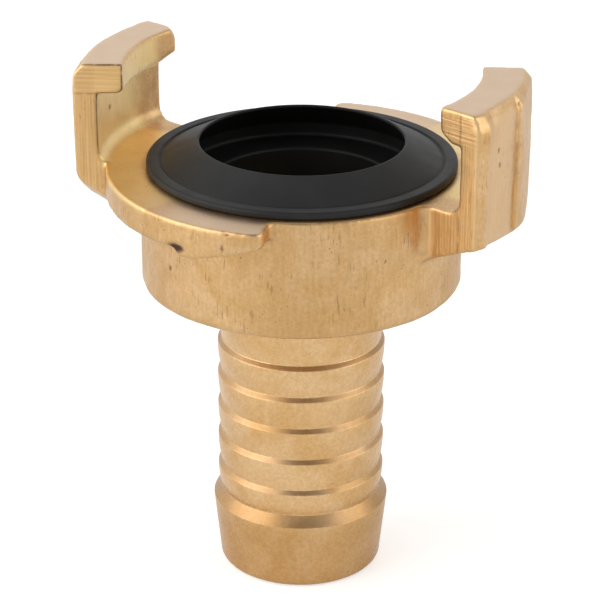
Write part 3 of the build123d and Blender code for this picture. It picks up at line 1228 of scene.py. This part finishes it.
def floor_material():
    """White floor: plain white to the camera but for the shadow, matt to the light."""
    material = bpy.data.materials.new("white_floor")
    material.use_nodes = True
    tree = material.node_tree
    tree.nodes.clear()
    matt = add_node(tree, "ShaderNodeBsdfDiffuse", {"Color": (0.76, 0.76, 0.76, 1)})
    path = add_node(tree, "ShaderNodeLightPath").outputs
    lift = product(tree, path["Is Camera Ray"], 0.48)
    lift = math(tree, "ADD", lift, product(tree, path["Is Glossy Ray"], 0.13))
    glow = add_node(tree, "ShaderNodeEmission", {"Color": (1, 1, 1, 1), "Strength": lift})
    both = tree.nodes.new("ShaderNodeAddShader")
    tree.links.new(matt.outputs[0], both.inputs[0])
    tree.links.new(glow.outputs[0], both.inputs[1])
    out = tree.nodes.new("ShaderNodeOutputMaterial")
    tree.links.new(both.outputs[0], out.inputs["Surface"])
    return material


def soft_lamp(name, place, target, size, power):
    """A rectangular area lamp that faces the target."""
    data = bpy.data.lights.new(name, "AREA")
    data.shape = "RECTANGLE"
    data.size, data.size_y = size
    data.energy = power
    lamp = bpy.data.objects.new(name, data)
    bpy.context.scene.collection.objects.link(lamp)
    lamp.location = place
    lamp.rotation_euler = (Vector(target) - Vector(place)).to_track_quat("-Z", "Y").to_euler()


class COUPLING_OT_stage(bpy.types.Operator):
    """Make the floor, the lamps and the camera"""

    bl_idname = "coupling.stage"
    bl_label = "Stage"

    def execute(self, context):
        scene = context.scene
        stage = scene.coupling_stage
        scene.view_settings.view_transform = "Standard"
        studio_world()
        bm = bmesh.new()
        floor_radius = 1.6
        bmesh.ops.create_circle(bm, cap_ends=True, segments=96, radius=floor_radius)
        floor = mesh_object("floor", mesh_from(bm, "floor"), floor_material())
        middle = (0.0, 0.0, BODY_HIGH.z / 2)
        soft_lamp("left_softbox", (-0.62, -0.22, 0.40), middle, (0.8, 0.9), 3.2)
        soft_lamp("right_softbox", (0.64, -0.16, 0.34), middle, (0.6, 0.8), 1.8)

        data = bpy.data.cameras.new("camera")
        data.lens = stage.focal_length
        data.sensor_width = 36.0
        data.clip_start = 0.01
        camera = bpy.data.objects.new("camera", data)
        scene.collection.objects.link(camera)
        target = Vector((0.00016, 0.0, 0.03990))
        tilt = stage.elevation
        camera.location = target + Vector((0.0, -cos(tilt), sin(tilt))) * stage.distance
        look = Euler((pi / 2 - tilt, 0.0, 0.0)).to_matrix()
        camera.rotation_euler = (look @ Matrix.Rotation(stage.lean, 3, "Z")).to_euler()
        scene.camera = camera
        return {"FINISHED"}


# ---------------------------------------------------------------- add-on


class VIEW3D_PT_coupling(bpy.types.Panel):
    """Buttons and sizes of the coupling"""

    bl_label = "Claw Coupling"
    bl_idname = "VIEW3D_PT_coupling"
    bl_space_type = "VIEW_3D"
    bl_region_type = "UI"
    bl_category = "Coupling"

    def draw(self, context):
        layout = self.layout
        for operator in OPERATORS:
            layout.operator(operator.bl_idname)
        for name, group in SETTINGS.items():
            box = layout.box()
            box.label(text=group.__doc__)
            for key in group.__annotations__:
                box.prop(getattr(context.scene, name), key)


OPERATORS = (
    COUPLING_OT_finishes,
    COUPLING_OT_hose_tail,
    COUPLING_OT_brass_body,
    COUPLING_OT_seal,
    COUPLING_OT_stage,
)


def register():
    for group in SETTINGS.values():
        bpy.utils.register_class(group)
    for operator in OPERATORS:
        bpy.utils.register_class(operator)
    bpy.utils.register_class(VIEW3D_PT_coupling)
    for name, group in SETTINGS.items():
        setattr(bpy.types.Scene, name, PointerProperty(type=group))


def unregister():
    for name in SETTINGS:
        delattr(bpy.types.Scene, name)
    bpy.utils.unregister_class(VIEW3D_PT_coupling)
    for operator in reversed(OPERATORS):
        bpy.utils.unregister_class(operator)
    for group in reversed(SETTINGS.values()):
        bpy.utils.unregister_class(group)


def main():
    register()
    bpy.ops.coupling.finishes()
    bpy.ops.coupling.hose_tail()
    bpy.ops.coupling.brass_body()
    bpy.ops.coupling.seal()
    bpy.ops.coupling.stage()


if __name__ == "__main__":
    main()
